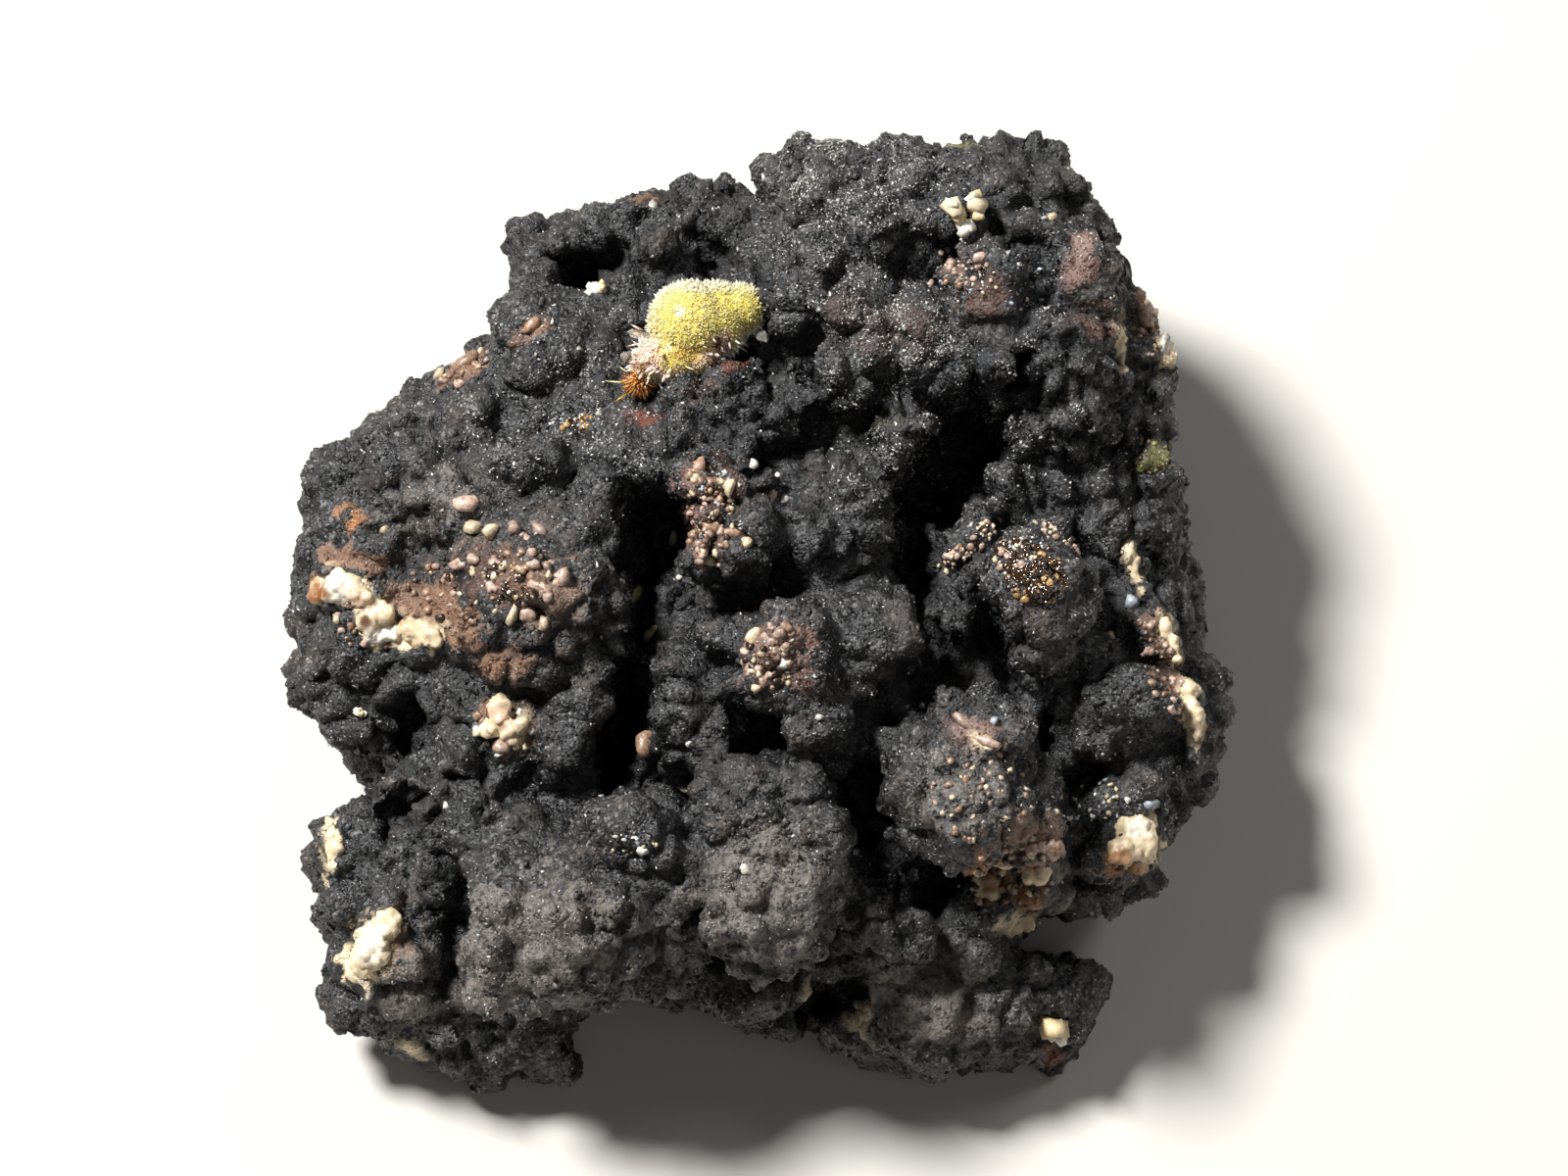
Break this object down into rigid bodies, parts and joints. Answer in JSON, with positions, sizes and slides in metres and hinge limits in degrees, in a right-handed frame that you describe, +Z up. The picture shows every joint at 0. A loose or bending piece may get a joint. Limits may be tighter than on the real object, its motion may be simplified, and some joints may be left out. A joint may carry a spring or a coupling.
{
  "type": "mineral specimen",
  "caption": "Loose knobbly lump of black oxide coated rock with a spiny pale yellow ball of cobaltarthurite crystals in a pocket, lying on its flat broken back.",
  "frame": {"origin": "the point of the flat broken back that lies under the middle of the display face, on the surface that the specimen rests on", "axes": "+Z up from the flat back, +X to the viewer's right, +Y away from the viewer"},
  "size_m": [0.0194, 0.0195, 0.0097],
  "materials": {
    "black_oxide_rock": "black granular cobalt and manganese oxide crust over rock, rough with fine glints",
    "cobaltarthurite": "translucent pale yellow needles, silky to glassy",
    "iron_stained_needles": "orange brown iron stained needles, glassy",
    "brown_goethite": "glossy golden brown beads",
    "clear_crystal": "clear colourless crystal with flat faces",
    "white_chip": "cream white broken crystal, slightly translucent"
  },
  "bodies": {
    "root": {"matrix": "black_oxide_rock", "cobaltarthurite_ball": "cobaltarthurite", "iron_stained_spray": "iron_stained_needles", "brown_bead_crust": "brown_goethite", "clear_crystal_right": "clear_crystal", "clear_crystal_left": "clear_crystal", "clear_crystal_below": "clear_crystal", "white_chip_top": "white_chip", "white_chip_left": "white_chip", "white_chip_foot": "white_chip", "white_chip_hollow": "white_chip"}
  },
  "joints": []
}
